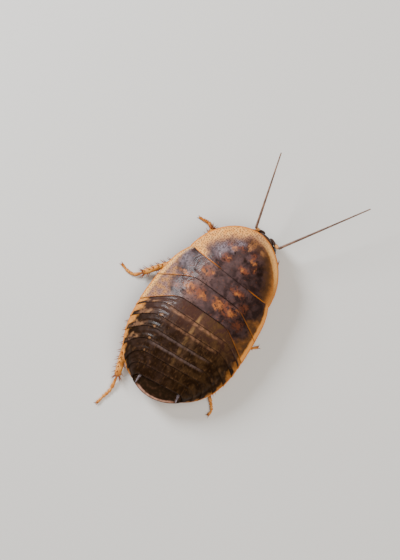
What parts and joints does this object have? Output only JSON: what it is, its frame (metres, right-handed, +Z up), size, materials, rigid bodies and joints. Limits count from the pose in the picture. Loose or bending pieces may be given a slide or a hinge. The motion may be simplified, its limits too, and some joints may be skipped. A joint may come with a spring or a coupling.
{
  "type": "cockroach nymph",
  "caption": "Still, life-size model of a wingless cockroach nymph: domed shield, overlapping back plates, spiny legs, long feelers and short cerci.",
  "frame": {"origin": "on the floor, under the middle of the whole animal's box, feelers and feet included", "axes": "+Z up, the head and feelers towards -Y, the animal's left side towards +X"},
  "size_m": [0.027, 0.048, 0.0078],
  "materials": {
    "shield": "polished chitin, pale tan margins speckled with brown round a dark marbled disc",
    "shell": "polished dark brown chitin with amber marbling and pale flecked side margins",
    "belly": "satin amber-brown chitin",
    "leg": "translucent-looking amber chitin with red-brown spines",
    "face": "polished near-black chitin with amber mouth parts",
    "eye": "glossy black, finely faceted",
    "feeler": "satin ringed brown",
    "cercus": "dull grey-lilac, ringed"
  },
  "bodies": {
    "root": {"pronotum": "shield", "mesonotum": "shell", "metanotum": "shell", "abdomen": "shell", "anal_plate": "shell", "thorax": "belly", "cercus_left": "cercus", "cercus_right": "cercus", "head": "face", "eye_left": "eye", "eye_right": "eye", "antenna_left": "feeler", "antenna_right": "feeler", "palp_left": "leg", "palp_right": "leg", "coxa_front_left": "belly", "femur_front_left": "leg", "tibia_front_left": "leg", "tarsus_front_left": "leg", "coxa_front_right": "belly", "femur_front_right": "leg", "tibia_front_right": "leg", "tarsus_front_right": "leg", "coxa_middle_left": "belly", "femur_middle_left": "leg", "tibia_middle_left": "leg", "tarsus_middle_left": "leg", "coxa_middle_right": "belly", "femur_middle_right": "leg", "tibia_middle_right": "leg", "tarsus_middle_right": "leg", "coxa_hind_left": "belly", "femur_hind_left": "leg", "tibia_hind_left": "leg", "tarsus_hind_left": "leg", "coxa_hind_right": "belly", "femur_hind_right": "leg", "tibia_hind_right": "leg", "tarsus_hind_right": "leg"}
  },
  "joints": []
}
